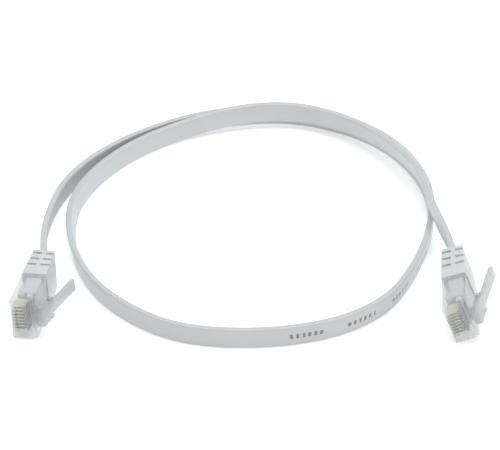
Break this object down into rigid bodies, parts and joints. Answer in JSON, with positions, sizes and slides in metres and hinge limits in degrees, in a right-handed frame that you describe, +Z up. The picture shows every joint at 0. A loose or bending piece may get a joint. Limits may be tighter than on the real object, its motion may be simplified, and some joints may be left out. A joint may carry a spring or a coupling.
{
  "type": "ethernet patch cable",
  "caption": "Short flat white ethernet patch cable lying on its edge in a loop and a half, with a clear modular plug and a grooved strain relief boot on each end.",
  "frame": {"origin": "on the surface that the cable lies on, midway between the outer limits of the two plugs and their boots", "axes": "+X from the first plug (a) to the second (b), -Y the way that the plugs point, +Z up"},
  "size_m": [0.1274, 0.113, 0.0153],
  "materials": {
    "cable_pvc": "satin",
    "boot_pvc": "satin",
    "clear_plastic": "gloss",
    "load_bar_plastic": "satin",
    "strain_bar_plastic": "satin",
    "copper": "satin",
    "gold": "gloss",
    "pair_blue": "satin",
    "pair_orange": "satin",
    "pair_green": "satin",
    "pair_brown": "satin",
    "wire_white_orange": "satin",
    "wire_orange": "satin",
    "wire_white_green": "satin",
    "wire_blue": "satin",
    "wire_white_blue": "satin",
    "wire_green": "satin",
    "wire_white_brown": "satin",
    "wire_brown": "satin"
  },
  "bodies": {
    "cable_and_plugs": {"cable_jacket": "cable_pvc", "pair_blue": "pair_blue", "pair_orange": "pair_orange", "pair_green": "pair_green", "pair_brown": "pair_brown", "boot_a": "boot_pvc", "housing_a": "clear_plastic", "load_bar_a": "load_bar_plastic", "strain_bar_a": "strain_bar_plastic", "conductors_a": "copper", "contact_a_1": "gold", "wire_a_1": "wire_white_orange", "contact_a_2": "gold", "wire_a_2": "wire_orange", "contact_a_3": "gold", "wire_a_3": "wire_white_green", "contact_a_4": "gold", "wire_a_4": "wire_blue", "contact_a_5": "gold", "wire_a_5": "wire_white_blue", "contact_a_6": "gold", "wire_a_6": "wire_green", "contact_a_7": "gold", "wire_a_7": "wire_white_brown", "contact_a_8": "gold", "wire_a_8": "wire_brown", "boot_b": "boot_pvc", "housing_b": "clear_plastic", "load_bar_b": "load_bar_plastic", "strain_bar_b": "strain_bar_plastic", "conductors_b": "copper", "contact_b_1": "gold", "wire_b_1": "wire_white_orange", "contact_b_2": "gold", "wire_b_2": "wire_orange", "contact_b_3": "gold", "wire_b_3": "wire_white_green", "contact_b_4": "gold", "wire_b_4": "wire_blue", "contact_b_5": "gold", "wire_b_5": "wire_white_blue", "contact_b_6": "gold", "wire_b_6": "wire_green", "contact_b_7": "gold", "wire_b_7": "wire_white_brown", "contact_b_8": "gold", "wire_b_8": "wire_brown"},
    "latch_a_body": {"latch_a": "clear_plastic"},
    "latch_b_body": {"latch_b": "clear_plastic"}
  },
  "joints": [
    {"name": "latch_a_flex", "type": "hinge", "parent": "cable_and_plugs", "child": "latch_a_body", "pos_m": [-0.05617, -0.0108, 0.00644], "axis": [-0.0733, 0.0158, 0.9972], "range_deg": [0, 15], "stiffness_Nm_per_rad": 0.2},
    {"name": "latch_b_flex", "type": "hinge", "parent": "cable_and_plugs", "child": "latch_b_body", "pos_m": [0.05758, -0.01253, 0.0079], "axis": [-0.3476, -0.0984, 0.9325], "range_deg": [0, 15], "stiffness_Nm_per_rad": 0.2}
  ]
}
